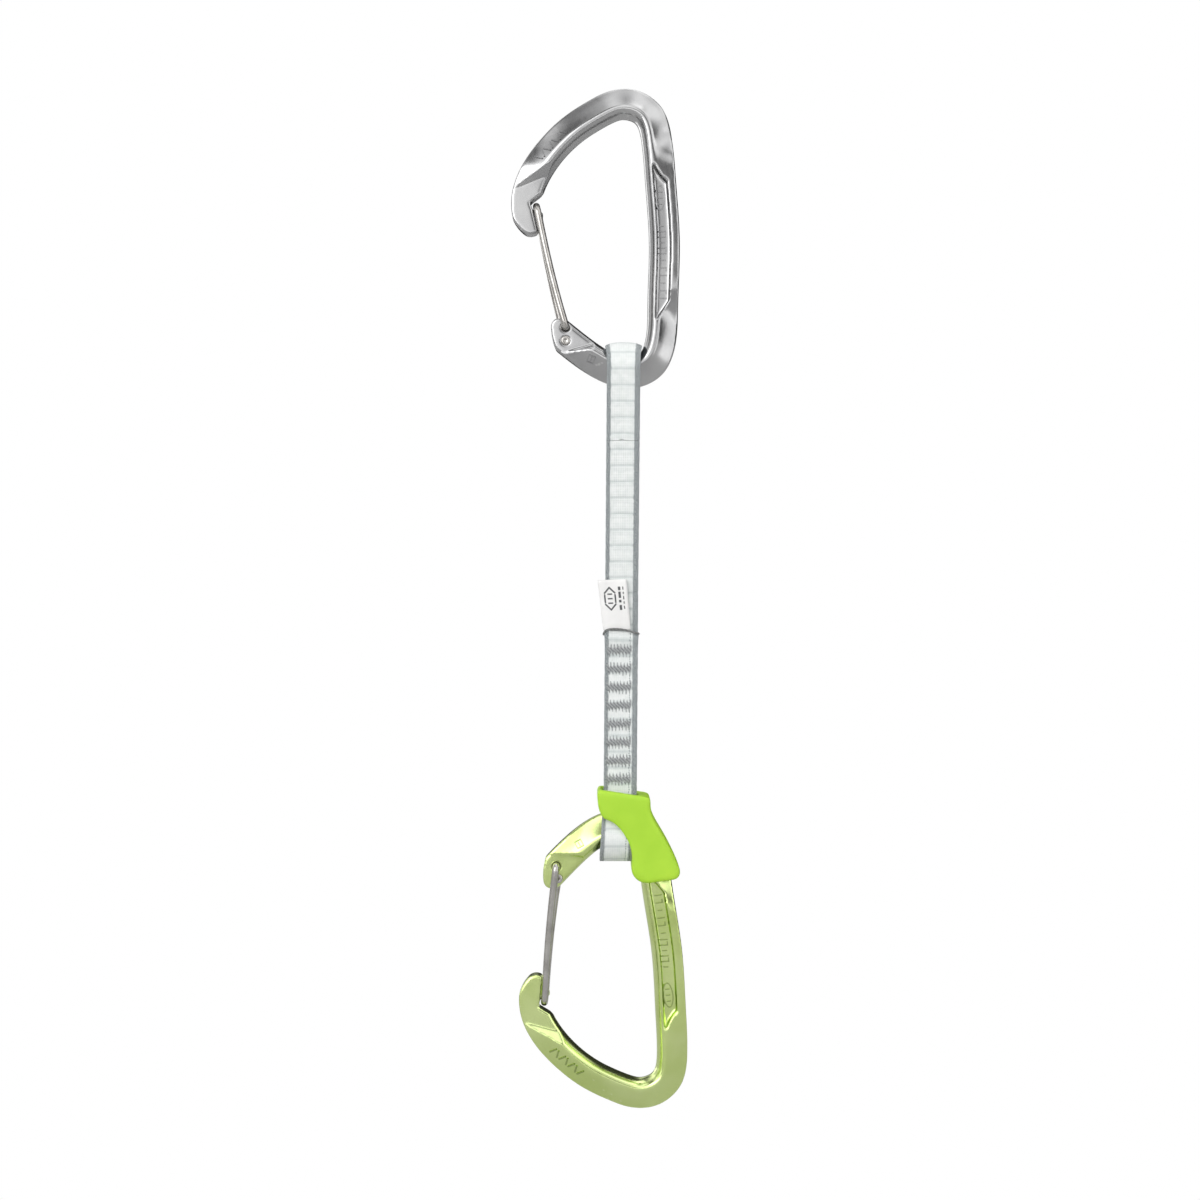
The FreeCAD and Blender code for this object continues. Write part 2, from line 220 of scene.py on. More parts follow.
def polished_alloy(name, deep, light, edge, rough_low, rough_high):
    """Polished forging: cloudy polish, fine rubbing marks, and a painted highlight that brightens the sharp edges.
    """
    made = Finish(name)
    clouds = made.noise(made.place(), 55.0, 4.0, 0.55)
    rubbed = made.noise(made.place((900, 900, 260), (0.2, 0.5, 0.1)), 1.0, 3.0)
    pits = made.noise(made.place(), 2600.0, 2.0)
    # painted highlight: pointiness picks out the convex edges, and the colour there is mixed toward the bright
    # edge colour
    edge_highlight = made.shades(made.node("NewGeometry").outputs["Pointiness"], [(0.53, 0.0), (0.62, 1.0)])
    base = made.shades(clouds, [(0.32, deep), (0.68, light)])
    colour = made.blend(made.math("MULTIPLY", edge_highlight, 0.4), base, edge)
    rough = made.node("MapRange", {"To Min": rough_low, "To Max": rough_high}, Value=rubbed).outputs[0]
    skin = made.bump(rubbed, 0.06, 0.00005)
    skin = made.bump(pits, 0.02, 0.00003, skin)
    skin = made.bump(clouds, 0.12, 0.0004, skin)
    return made.set(Metallic=1.0, Base_Color=colour, Roughness=rough, Normal=skin)


# the third colour of each finish is the painted edge highlight along the sharp edges
natural_polish = polished_alloy(
    "natural polish", (0.38, 0.38, 0.385), (0.50, 0.50, 0.50), (0.86, 0.86, 0.85), 0.13, 0.23
)
green_anodising = polished_alloy(
    "green anodising", (0.58, 0.71, 0.24), (0.72, 0.84, 0.37), (0.92, 0.97, 0.62), 0.14, 0.25
)
BODY_GRAIN = 0.31 * MM
bodies = {}
for side, finish, slot in (
    ("upper", natural_polish, "natural_aluminium"),
    ("lower", green_anodising, "green_aluminium"),
):
    forging = softened_copy(side + "_carabiner_body", side + "_forged_body", BODY_GRAIN, 8)
    forging.data.materials.append(finish)
    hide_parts(side + "_carabiner_body")
    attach(forging, side + "_carabiner")
    bodies[side] = forging

# ---------------------------------------------------------------- raised marks
# The forging die leaves small raised marks: ribs on the nose arm, an oval and a
# row of bars in the spine's recess, and a square by the hinge.  They say nothing;
# they only stand where such marks stand.
MARK_RAISE = 0.36 * MM
MARK_SINK = 0.25 * MM
nose_arm = [(-27.6, -13.4), (-19.6, -5.0)]
spine_row = [(13.2, -36.0), (13.7, -46.0), (13.6, -60.0)]


def along(points, share):
    """Point and direction at a share of the way along a bent line."""
    at = share * (len(points) - 1)
    index = min(int(at), len(points) - 2)
    a, b = (Vector((*points[i], 0)) for i in (index, index + 1))
    return a.lerp(b, at - index), (b - a).normalized()


def flat_bar(work, middle, direction, length, width):
    """A thin bar lying in the XZ plane of the upper carabiner, in millimetres."""
    turn = Matrix.Rotation(-math.atan2(direction.y, direction.x), 4, "Y")
    place = Matrix.Translation((middle.x, 0, middle.y)) @ turn @ Matrix.Diagonal((length, 1, width, 1))
    made = bmesh.ops.create_cube(work, size=1.0, matrix=place)
    edges = list({edge for vert in made["verts"] for edge in vert.link_edges})
    bmesh.ops.subdivide_edges(
        work, edges=[edge for edge in edges if edge.calc_length() > 0.8 * length and length > 1.0], cuts=3
    )


def ring_bars(work, middle, across, high, count, width):
    """Short bars round an upright oval."""
    for i in range(count):
        angle = 2 * math.pi * (i + 0.5) / count
        point = middle + Vector((across * math.cos(angle), high * math.sin(angle), 0))
        way = Vector((-across * math.sin(angle), high * math.cos(angle), 0))
        flat_bar(work, point, way.normalized(), way.length * 2 * math.pi / count * 1.15, width)


def die_marks():
    """All the marks of one face, as flat bars in the middle plane."""
    work = bmesh.new()
    for i in range(7):
        point, way = along(nose_arm, i / 6)
        slanted = Vector((-way.y, way.x, 0)) + way * (0.45 if i % 2 else -0.45)
        flat_bar(work, point, slanted.normalized(), 2.6, 0.5)
    ring_bars(work, Vector((12.7, -26.6, 0)), 1.5, 4.0, 22, 0.34)
    for i in range(3):
        flat_bar(work, Vector((12.7, -24.6 - 2.0 * i, 0)), Vector((1, 0, 0)), 1.5, 0.36)
    for i in range(12):
        point, way = along(spine_row, i / 11)
        cross = Vector((-way.y, way.x, 0))
        flat_bar(work, point, cross, 2.4 if i % 3 else 1.6, 0.4)
        if i % 3 == 1:
            flat_bar(work, point + cross * 1.0 + way * 0.5, way, 1.3, 0.4)
    hinge_mark = Vector((-10.3, -80.6, 0))
    tilt = Vector((0.93, -0.37, 0))
    square = Vector((0.37, 0.93, 0))
    for way, offset in ((tilt, square), (tilt, -square), (square, tilt), (square, -tilt)):
        flat_bar(work, hinge_mark + offset * 1.1, way, 2.3, 0.3)
    flat_bar(work, hinge_mark, square, 1.2, 0.3)
    return work


def marks_on(side, finish):
    """Lays the marks on both faces of a body, raised a little from the metal under them."""
    surface = BVHTree.FromObject(bodies[side], bpy.context.evaluated_depsgraph_get())
    to_body = turned_over if side == "lower" else Matrix.Identity(4)
    whole = bmesh.new()
    for face in (-1, 1):
        work = die_marks()
        for vert in work.verts:
            proud = vert.co.y > 0
            point = to_body @ Vector((vert.co.x * MM, 0, vert.co.z * MM))
            start = Vector((point.x, face * 0.03, point.z))
            hit = surface.ray_cast(start, Vector((0, -face, 0)))[0]
            level = abs(hit.y) if hit else 0.002
            point.y = face * (level + (MARK_RAISE if proud else -MARK_SINK))
            vert.co = point
        mesh = bpy.data.meshes.new("face")
        work.to_mesh(mesh)
        work.free()
        whole.from_mesh(mesh)
    bmesh.ops.recalc_face_normals(whole, faces=whole.faces)
    mesh = bpy.data.meshes.new(side + "_die_marks")
    whole.to_mesh(mesh)
    whole.free()
    marks = new_piece(side + "_die_marks", mesh)
    marks.data.materials.append(finish)
    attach(marks, side + "_carabiner")


natural_marks = polished_alloy(
    "natural marks", (0.22, 0.22, 0.23), (0.30, 0.30, 0.30), (0.5, 0.5, 0.5), 0.2, 0.3
)
marks_on("upper", natural_marks)
green_marks = polished_alloy(
    "green marks", (0.24, 0.31, 0.08), (0.31, 0.39, 0.12), (0.5, 0.6, 0.25), 0.2, 0.3
)
marks_on("lower", green_marks)

# ---------------------------------------------------------------- gate wires
# One length of 2.4 mm stainless spring wire per gate: a leg down each side, its
# end turned into its own hole.  The holes are offset, which twists the wire and
# shuts the gate.  The ends are riveted over on the far side.
WIRE = 1.2 * MM
gate_top = Vector((-28.5, 0, -29.2)) * MM
near_hole = Vector((-18.7, 0, -69.8)) * MM
far_hole = near_hole - Vector((0, 0, 4.4 * MM))
LEG_OFFSET = 5.15 * MM
TURN = 3.3 * MM
BODY_FACE = 3.4 * MM
up = (gate_top - near_hole).normalized()
turn_middle = gate_top - up * TURN


def leg_route(hole, side):
    """Points along the middle of one leg, from its riveted end to the middle of the crown."""
    y = Vector((0, 1, 0))
    bow = Vector((up.z, 0, -up.x)) * -0.5 * MM
    elbow = hole + y * side * LEG_OFFSET
    top = turn_middle + y * side * TURN
    run = top - elbow
    angles = [math.pi * i / 8 for i in range(1, 4)]
    # the last two points lie level, so that the two legs meet smoothly
    crown = [(math.cos(angle), math.sin(angle)) for angle in angles] + [(0.2, 1), (0, 1)]
    return [
        hole - y * side * (BODY_FACE + 0.1 * MM),
        hole + y * side * (LEG_OFFSET - 2.2 * MM),
        hole + y * side * (LEG_OFFSET - 0.9 * MM) + up * 0.12 * MM,
        elbow + up * 0.75 * MM - y * side * 0.15 * MM,
        elbow + up * 2.2 * MM,
        elbow + run * 0.2 + bow * 0.6,
        elbow + run * 0.5 + bow,
        elbow + run * 0.8 + bow * 0.6,
        top,
    ] + [turn_middle + (y * side * out + up * rise) * TURN for out, rise in crown]


def bent_leg(name, hole, side, place):
    """Half of a gate's wire: one leg and its share of the crown."""
    curve = bpy.data.curves.new(name, "CURVE")
    curve.dimensions = "3D"
    curve.bevel_depth = WIRE
    curve.bevel_resolution = 5
    curve.use_fill_caps = True
    spline = curve.splines.new("NURBS")
    route = leg_route(hole, side)
    spline.points.add(len(route) - 1)
    for point, at in zip(spline.points, route):
        point.co = (*(place @ at), 1.0)
    spline.order_u = 3
    spline.use_endpoint_u = True
    spline.resolution_u = 6
    leg = settle_curve(name, curve)
    leg.data.set_sharp_from_angle(angle=math.radians(50))
    return leg


def settle_curve(name, curve):
    """Turns a curve into a mesh piece, its seams closed and its faces outward."""
    draft = new_piece(name + "_draft", curve)
    bpy.context.view_layer.update()
    graph = bpy.context.evaluated_depsgraph_get()
    mesh = bpy.data.meshes.new_from_object(draft.evaluated_get(graph))
    bpy.data.objects.remove(draft)
    work = bmesh.new()
    work.from_mesh(mesh)
    bmesh.ops.remove_doubles(work, verts=work.verts, dist=1e-6)
    bmesh.ops.recalc_face_normals(work, faces=work.faces)
    work.to_mesh(mesh)
    work.free()
    mesh.shade_smooth()
    mesh.materials.clear()
    return new_piece(name, mesh)


def rivet_heads(name, place):
    """The two wire ends hammered over: low domes with a dimple in the middle."""
    work = bmesh.new()
    for hole, side in ((near_hole, 1), (far_hole, -1)):
        profile = [
            (0, 0.10), (0.35, 0.12), (0.55, 0.26), (1.15, 0.27), (1.5, 0.16), (1.58, -0.05), (1.58, -0.5),
        ]
        verts = [work.verts.new((r * MM, 0, h * MM)) for r, h in profile]
        edges = [work.edges.new(pair) for pair in zip(verts, verts[1:])]
        made = bmesh.ops.spin(
            work, geom=verts + edges, cent=(0, 0, 0), axis=(0, 0, 1), dvec=(0, 0, 0),
            angle=2 * math.pi, steps=28, use_merge=True,
        )
        new = [vert for vert in work.verts if vert.tag is False]
        stand = Matrix.Translation(hole + Vector((0, side * BODY_FACE, 0)))
        stand = stand @ Matrix.Rotation(-side * math.pi / 2, 4, "X")
        bmesh.ops.transform(work, matrix=place @ stand, verts=new)
        for vert in work.verts:
            vert.tag = True
    bmesh.ops.remove_doubles(work, verts=work.verts, dist=1e-6)
    bmesh.ops.recalc_face_normals(work, faces=work.faces)
    mesh = bpy.data.meshes.new(name)
    work.to_mesh(mesh)
    work.free()
    mesh.shade_smooth()
    return new_piece(name, mesh)


drawn = Finish("drawn steel")
streaks = drawn.noise(drawn.place(), 900.0, 2.0)
cloud = drawn.noise(drawn.place(), 240.0)
drawn_steel = drawn.set(
    Metallic=1.0,
    Base_Color=drawn.shades(cloud, [(0.3, (0.40, 0.385, 0.365)), (0.7, (0.56, 0.545, 0.52))]),
    Roughness=drawn.node("MapRange", {"To Min": 0.16, "To Max": 0.28}, Value=streaks).outputs[0],
    Normal=drawn.bump(streaks, 0.02, 0.00002),
)
for side, place in (("upper", Matrix.Identity(4)), ("lower", turned_over)):
    for leg_name, hole, hand in (("near", near_hole, -1), ("far", far_hole, 1)):
        wire = bent_leg(f"{side}_gate_wire_{leg_name}_leg", hole, hand, place)
        wire.data.materials.append(drawn_steel)
        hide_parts(side + "_gate_wire", side + "_gate_wire_ends")
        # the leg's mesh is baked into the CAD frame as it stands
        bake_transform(wire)
    heads = rivet_heads(side + "_wire_rivets", place)
    heads.data.materials.append(drawn_steel)
    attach(heads, side + "_carabiner")

# ---------------------------------------------------------------- webbing
# Narrow tape, 11 mm wide, woven of white high-tenacity yarn with grey selvages.
# Stiff picks make shallow ribs across its middle.  One length is folded round
# both bars and its two layers are sewn together above the keeper.
TAPE = 11 * MM
THICK = 2.1 * MM
RIB = 5.3 * MM
LEAN = math.tan(math.radians(0.45))
bar, flex = joint_at["sling_swing"], joint_at["sling_flex"]
hold = flex + Vector((-0.9, 0, -15.5)) * MM
NECK = 1.15 * MM
UPPER_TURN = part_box("webbing_upper_bight")[1].y - THICK / 2
LOWER_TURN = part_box("webbing_lower_loop")[1].y - THICK / 2
SEWN_TOP = 74 * MM
LOWER_NECK_LENGTH = flex.z - hold.z - 1.1 * MM


def sling_x(z):
    """The sling leans a little, and its lower loop sits off to one side."""
    if z > flex.z:
        return bar.x - (bar.z - z) * LEAN
    return flex.x + (flex.z - z) * (hold.x - flex.x) / (flex.z - hold.z)


def drop(run, radius, length):
    """(outward, down, outward share, up share) this far round a loop from its turn."""
    reach = math.hypot(NECK, length)
    turn = math.pi / 2 - (math.atan2(-length, NECK) + math.acos(radius / reach))
    d = abs(run)
    if d < radius * turn:
        a = d / radius
        return radius * math.sin(a), -radius * math.cos(a), math.sin(a), math.cos(a)
    straight = math.sqrt(reach * reach - radius * radius)
    out, down = radius * math.sin(turn), -radius * math.cos(turn)
    share = min(1.0, (d - radius * turn) / straight)
    beyond = max(0.0, d - radius * turn - straight)
    outward, upward = (1.0, 0.0) if beyond > 0 else (math.sin(turn), math.cos(turn))
    return out + (NECK - out) * share, down + (length - down) * share + beyond, outward, upward


def run_to(radius, length, beyond=0.0):
    """Run from the turn to where the layers meet, and on."""
    reach = math.hypot(NECK, length)
    turn = math.pi / 2 - (math.atan2(-length, NECK) + math.acos(radius / reach))
    return radius * turn + math.sqrt(reach * reach - radius * radius) + beyond


def rib_relief(run, across, depth):
    """Ribs stand a little proud; a narrow groove parts them."""
    phase = (run / RIB) % 1.0
    groove = math.exp(-((phase - 0.5) / 0.075) ** 2) + 0.45 * math.exp(-((phase - 0.86) / 0.06) ** 2)
    middle = max(0.0, 1 - (abs(across) / (TAPE * 0.36)) ** 6)
    return -depth * groove * middle


def woven_strip(work, first, last, place, run_of):
    """A strip of tape: a grid bent along its path, with its runs kept for the weave."""
    rows = max(2, round((last - first) / (0.42 * MM)))
    across_layer = work.verts.layers.float.get("across") or work.verts.layers.float.new("across")
    run_layer = work.verts.layers.float.get("run") or work.verts.layers.float.new("run")
    made = bmesh.ops.create_grid(work, x_segments=16, y_segments=rows, size=1.0)
    for vert in made["verts"]:
        across = vert.co.x * TAPE / 2
        d = first + (last - first) * (vert.co.y + 1) / 2
        run = run_of(d)
        vert[across_layer] = across / MM
        vert[run_layer] = run / MM
        scallop = 1 - 0.012 * math.exp(-(((run / RIB) % 1.0 - 0.5) / 0.12) ** 2)
        vert.co = place(d, across * scallop, run)


def tape_piece(name, work, soft=0.55 * MM):
    """Gives the strip its thickness and rounds its edges."""
    bmesh.ops.recalc_face_normals(work, faces=work.faces)
    mesh = bpy.data.meshes.new(name)
    work.to_mesh(mesh)
    work.free()
    piece = new_piece(name, mesh)
    wall = piece.modifiers.new("wall", "SOLIDIFY")
    wall.thickness = THICK
    wall.offset = 0.0
    edge = piece.modifiers.new("edge", "BEVEL")
    edge.width = soft
    edge.segments = 3
    edge.limit_method = "ANGLE"
    edge.angle_limit = math.radians(60)
    settle(piece)
    piece.data.shade_smooth()
    piece.data.materials.clear()
    return piece


def upper_place(depth):
    def place(d, across, run):
        out, down, sideways, upward = drop(d, UPPER_TURN, SEWN_TOP)
        crown = max(0.0, upward) ** 2 * abs(across / (TAPE / 2)) ** 3
        lift = rib_relief(run, across, depth) - 1.1 * MM * crown
        across *= 1 + 0.05 * max(0.0, upward)
        side = -1 if d >= 0 else 1
        z = bar.z - down + lift * upward
        return Vector((sling_x(z) + across, side * (out + lift * sideways), z))
    return place


def lower_place(depth):
    def place(d, across, run):
        out, down, sideways, upward = drop(d, LOWER_TURN, LOWER_NECK_LENGTH)
        lift = rib_relief(run, across, depth)
        side = -1 if d >= 0 else 1
        z = hold.z + down - lift * upward
        return Vector((sling_x(z) + across, side * (out + lift * sideways), z))
    return place


MEET = run_to(UPPER_TURN, SEWN_TOP)
SPLIT = 37 * MM
LOWER_NECK = run_to(LOWER_TURN, LOWER_NECK_LENGTH)
SEWN_RUN = bar.z - SEWN_TOP - (hold.z + LOWER_NECK_LENGTH)
LOWER_END = LOWER_NECK + SEWN_RUN


def weave():
    """White body with fine picks and painted shade in the rib grooves, grey selvages of twisted two-tone yarn."""
    made = Finish("woven tape")
    across = made.node("Attribute", {"attribute_name": "across"}).outputs["Fac"]
    run = made.node("Attribute", {"attribute_name": "run"}).outputs["Fac"]
    flat = made.node("CombineXYZ", X=across, Y=run).outputs["Vector"]
    wander = made.math("MULTIPLY", made.math("SUBTRACT", made.noise(flat, 1.1, 2.0), 0.5), 0.7)
    inward = made.math("ADD", across, wander)
    left = made.shades(made.math("MULTIPLY_ADD", inward, -1.0, -4.0), [(0.05, 0.0), (0.35, 1.0)])
    right = made.shades(made.math("ADD", inward, -3.5), [(0.05, 0.0), (0.35, 1.0)])
    selvage = made.math("MAXIMUM", left, right)
    slanted = made.node("Mapping", {"Rotation": (0, 0, 0.7)}, Vector=flat)
    twill = made.node(
        "TexWave", {"Scale": 0.85, "Distortion": 2.2, "Detail": 2.0, "Detail Scale": 2.5},
        Vector=slanted.outputs["Vector"],
    ).outputs["Fac"]
    speck = made.noise(flat, 2.2, 2.0, 0.6)
    mottled = made.math("ADD", made.math("MULTIPLY", twill, 0.45), made.math("MULTIPLY", speck, 0.75))
    grey = made.shades(
        mottled, [(0.36, (0.075, 0.09, 0.097)), (0.52, (0.17, 0.19, 0.20)), (0.70, (0.55, 0.59, 0.60))]
    )
    picks = made.node("TexWave", {"Scale": 0.62, "Distortion": 0.6, "bands_direction": "Y"}, Vector=flat)
    ends = made.node("TexWave", {"Scale": 0.42, "Distortion": 0.4, "bands_direction": "X"}, Vector=flat)
    cloth = made.math("ADD", picks.outputs["Fac"], ends.outputs["Fac"])
    # painted shade: the tape is coloured darker along the groove between ribs, with a soft step up to the plateau
    phase = made.math("FRACT", made.math("DIVIDE", run, RIB / MM))
    near = made.math("ABSOLUTE", made.math("SUBTRACT", phase, 0.5))
    shade = made.shades(
        near, [(0.0, (0.61, 0.65, 0.645)), (0.14, (0.80, 0.825, 0.815)), (0.45, (0.83, 0.85, 0.84))]
    )
    soil = made.shades(made.noise(flat, 0.5, 3.0), [(0.3, (0.90, 0.915, 0.91)), (0.65, (1.0, 1.0, 1.0))])
    white = made.blend(1.0, shade, soil, "MULTIPLY")
    # one grey end among the white ones shows as dots beside the right selvage of the sewn part
    line = made.math("LESS_THAN", made.math("ABSOLUTE", made.math("SUBTRACT", inward, 2.85)), 0.15)
    dots = made.math("LESS_THAN", made.math("FRACT", made.math("MULTIPLY", run, 1.25)), 0.6)
    below = made.math("GREATER_THAN", run, (MEET + 12 * MM) / MM)
    dotted = made.math("MULTIPLY", made.math("MULTIPLY", line, dots), below)
    white = made.blend(dotted, white, (0.24, 0.27, 0.28))
    thread_marks = made.shades(cloth, [(0.35, (0.90, 0.91, 0.91)), (1.3, (1.0, 1.0, 1.0))])
    white = made.blend(0.6, white, thread_marks, "MULTIPLY")
    colour = made.blend(selvage, white, grey)
    skin = made.bump(cloth, 0.35, 0.00012)
    skin = made.bump(made.math("MULTIPLY", mottled, selvage), 0.8, 0.0004, skin)
    return made.set(
        Base_Color=colour, Roughness=0.82, Normal=skin, Sheen_Weight=0.25, Sheen_Roughness=0.5,
        Specular_IOR_Level=0.25,
    )


tape_weave = weave()
work = bmesh.new()
woven_strip(work, -SPLIT, SPLIT, upper_place(0.16 * MM), lambda d: d)
bight = tape_piece("webbing_bight", work)
bight.data.materials.append(tape_weave)
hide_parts("webbing_upper_bight")
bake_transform(bight)

work = bmesh.new()
woven_strip(work, SPLIT, MEET, upper_place(0.16 * MM), lambda d: d)
woven_strip(work, -MEET, -SPLIT, upper_place(0.16 * MM), lambda d: d)
legs = tape_piece("webbing_legs", work)
legs.data.materials.append(tape_weave)
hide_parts("webbing_upper_legs")
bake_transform(legs)

work = bmesh.new()
woven_strip(
    work, -LOWER_END, LOWER_END, lower_place(0.10 * MM),
    lambda d: math.copysign(MEET + LOWER_END - abs(d), d),
)
sewn = tape_piece("webbing_sewn_and_lower_loop", work)
sewn.data.materials.append(tape_weave)
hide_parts("webbing_sewn_part", "webbing_lower_loop")
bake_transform(sewn)

# ---------------------------------------------------------------- tape end
# The tape's end is turned under and laid on the front of the sewn part, and the
# bar tacks go through all three layers.
LAP_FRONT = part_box("webbing_end_lap")[0].y
lap_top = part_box("webbing_end_lap")[1].z


def lap_place(d, across, run):
    z = lap_top - THICK * 0.1 - d
    curl = max(0.0, 1 - d / (1.6 * MM))
    swell = 0.18 * MM * math.exp(-((d - 1.6 * MM) / (1.3 * MM)) ** 2)
    settle_in = 0.22 * MM * math.exp(-((d - 4.2 * MM) / (1.0 * MM)) ** 2)
    y = LAP_FRONT + THICK / 2 - swell + settle_in + 0.5 * MM * curl * curl
    slant = 0.07 * across * max(0.0, 1 - d / (5 * MM))
    widen = 1 + 0.03 * math.exp(-((d - 1.5 * MM) / (2 * MM)) ** 2)
    return Vector((sling_x(z) + across * widen, y + rib_relief(run, across, 0.08 * MM), z - slant))


lap_low = flex.z - 3.5 * MM
work = bmesh.new()
woven_strip(work, 0.0, lap_top - lap_low, lap_place, lambda d: MEET + 14 * MM + d)
lap = tape_piece("webbing_turned_end", work, soft=0.9 * MM)
lap.data.materials.append(tape_weave)
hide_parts("webbing_end_lap")
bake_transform(lap)

# ---------------------------------------------------------------- bar tacks
# Dense zigzag stitching in grey thread.  Each band is a row of upright stitches
# side by side, their ends uneven like teeth, on the front and on the back.
STITCHES = 22
stitch_random = random.Random(11)


def bar_tack(node):
    low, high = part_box(node)
    middle_x, middle_z = (low.x + high.x) / 2, (low.z + high.z) / 2
    half_high, width = (high.z - low.z) / 2, high.x - low.x - 1.7 * MM
    work = bmesh.new()
    for y, outward in ((LAP_FRONT, -1), (high.y - 0.35 * MM, 1)):
        for i in range(STITCHES):
            x = middle_x + width * (i / (STITCHES - 1) - 0.5) - 0.7 * MM
            shift = (0.62, 0.0, -0.62)[i % 3] * MM
            tall = half_high * (0.74 if i % 3 == 1 else 0.92) * stitch_random.uniform(0.88, 1.18)
            z = middle_z + shift + stitch_random.uniform(-0.15, 0.15) * MM
            lean = stitch_random.uniform(-0.06, 0.06)
            place = (
                Matrix.Translation((x, y + outward * 0.08 * MM, z))
                @ Matrix.Rotation(lean, 4, "Y")
                @ Matrix.Diagonal((0.22 * MM, 0.24 * MM, tall, 1))
            )
            bmesh.ops.create_uvsphere(work, u_segments=7, v_segments=6, radius=1.0, matrix=place)
    mesh = bpy.data.meshes.new(node)
    work.to_mesh(mesh)
    work.free()
    mesh.shade_smooth()
    return new_piece(node.replace("bar_tack", "stitched_band"), mesh)


def sewing_thread(name, dark, light):
    made = Finish(name)
    where = made.place()
    ply = made.node(
        "TexWave", {"Scale": 520.0, "Distortion": 1.5, "bands_direction": "DIAGONAL"}, Vector=where
    ).outputs["Fac"]
    strand = made.noise(where, 1900.0, 2.0)
    tone = made.math("ADD", made.math("MULTIPLY", ply, 0.4), made.math("MULTIPLY", strand, 0.6))
    return made.set(
        Base_Color=made.shades(tone, [(0.3, dark), (0.7, light)]), Roughness=0.6,
        Normal=made.bump(ply, 0.5, 0.00008), Sheen_Weight=0.3, Specular_IOR_Level=0.35,
    )


grey_thread = sewing_thread("grey thread", (0.21, 0.22, 0.225), (0.44, 0.455, 0.46))
for number in range(1, 9):
    node = f"bar_tack_{number}"
    band = bar_tack(node)
    band.data.materials.append(grey_thread)
    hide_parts(node)
    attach(band, "sling_lower")

# ---------------------------------------------------------------- label and its seam
# A white woven label, folded in two, is held under a thread where the tape ends.
# It carries a plain printed device of bars and says nothing.
label_low, label_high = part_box("label")
LABEL_THICK = 0.34 * MM
LABEL_WIDE = label_high.x - label_low.x
LABEL_TALL = label_high.z - label_low.z
label_middle = (label_low + label_high) / 2


def label_point(across, up_from_foot, layer):
    """A place on the label's front (layer -1) or back (+1)."""
    share = up_from_foot / LABEL_TALL
    wave = 0.16 * MM * math.sin(3.2 * share + across / (2.6 * MM))
    y = label_middle.y + layer * 0.24 * MM + wave - 0.15 * MM * share
    x = label_middle.x + across * (1 - 0.04 * (1 - share)) - 0.10 * (up_from_foot - LABEL_TALL / 2)
    return Vector((x, y, label_low.z + up_from_foot + 0.03 * across))


def label_place(d, across):
    """Up the front, over the fold, down the back."""
    fold = LABEL_TALL - 0.3 * MM
    if d < fold:
        return label_point(across, d, -1)
    if d > fold + 0.75 * MM:
        return label_point(across, 2 * fold + 0.75 * MM - d, 1)
    turn = (d - fold) / (0.75 * MM) * math.pi
    point = label_point(across, fold, 0)
    return point + Vector((0, -0.24 * MM * math.cos(turn), 0.24 * MM * math.sin(turn)))


work = bmesh.new()
made = bmesh.ops.create_grid(work, x_segments=12, y_segments=90, size=1.0)
LABEL_RUN = 2 * LABEL_TALL
for vert in made["verts"]:
    vert.co = label_place((vert.co.y + 1) / 2 * LABEL_RUN * 0.985, vert.co.x * LABEL_WIDE / 2)
bmesh.ops.recalc_face_normals(work, faces=work.faces)
mesh = bpy.data.meshes.new("label_cloth")
work.to_mesh(mesh)
work.free()
label = new_piece("label_cloth", mesh)
wall = label.modifiers.new("wall", "SOLIDIFY")
wall.thickness = LABEL_THICK
wall.offset = 0.0
settle(label)
label.data.shade_smooth()
satin = Finish("label satin")
where = satin.place()
warp = satin.node("TexWave", {"Scale": 900.0, "Distortion": 0.5, "bands_direction": "X"}, Vector=where)
weft = satin.node("TexWave", {"Scale": 700.0, "Distortion": 0.5, "bands_direction": "Z"}, Vector=where)
weave_height = satin.math("ADD", warp.outputs["Fac"], weft.outputs["Fac"])
cloth_tone = satin.shades(
    satin.noise(where, 160.0), [(0.3, (0.78, 0.775, 0.765)), (0.7, (0.87, 0.865, 0.855))]
)
label_satin = satin.set(
    Base_Color=cloth_tone, Roughness=0.62, Normal=satin.bump(weave_height, 0.25, 0.00005),
    Sheen_Weight=0.2, Specular_IOR_Level=0.35,
)
label.data.materials.clear()
label.data.materials.append(label_satin)
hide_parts("label")
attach(label, "sling_lower")


def print_bar(work, x, z, wide, tall, lean=0.0):
    """A printed bar on the label's front, in millimetres from its middle."""
    leaning = Matrix.Translation((x, 0, z)) @ Matrix.Rotation(lean, 4, "Y")
    made = bmesh.ops.create_cube(work, size=1.0, matrix=leaning @ Matrix.Diagonal((wide, 1, tall, 1)))
    for vert in made["verts"]:
        ink = -0.05 if vert.co.y < 0 else 0.05
        point = label_point(vert.co.x * MM, (vert.co.z + LABEL_TALL / MM / 2) * MM, -1)
        vert.co = point + Vector((0, -LABEL_THICK / 2 + ink * MM, 0))


